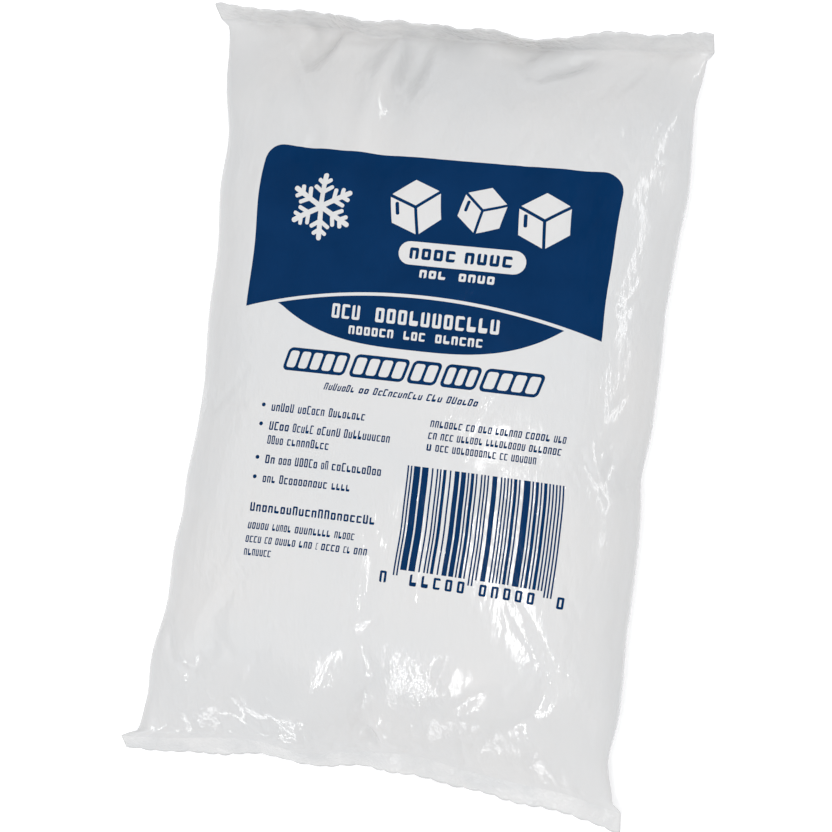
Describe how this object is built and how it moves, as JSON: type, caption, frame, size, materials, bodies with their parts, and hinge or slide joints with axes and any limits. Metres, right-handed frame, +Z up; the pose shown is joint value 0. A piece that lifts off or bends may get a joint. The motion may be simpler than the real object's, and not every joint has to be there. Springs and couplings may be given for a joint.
{
  "type": "reusable ice pack",
  "caption": "Flat rectangular gel-filled film pouch with a welded, saw-cut strip at each end, lying on its back; frozen and laid in a lunch box to keep food cold.",
  "frame": {"origin": "on the table under the middle of the pack's box", "axes": "+X across the pack towards its right side as the print reads, +Y along the pack towards its top weld, +Z up out of the printed face"},
  "size_m": [0.1016, 0.1542, 0.0229],
  "materials": {
    "film": "glossy milk-white film with a dark blue print"
  },
  "bodies": {
    "root": {"gel_pouch": "film"}
  },
  "joints": []
}
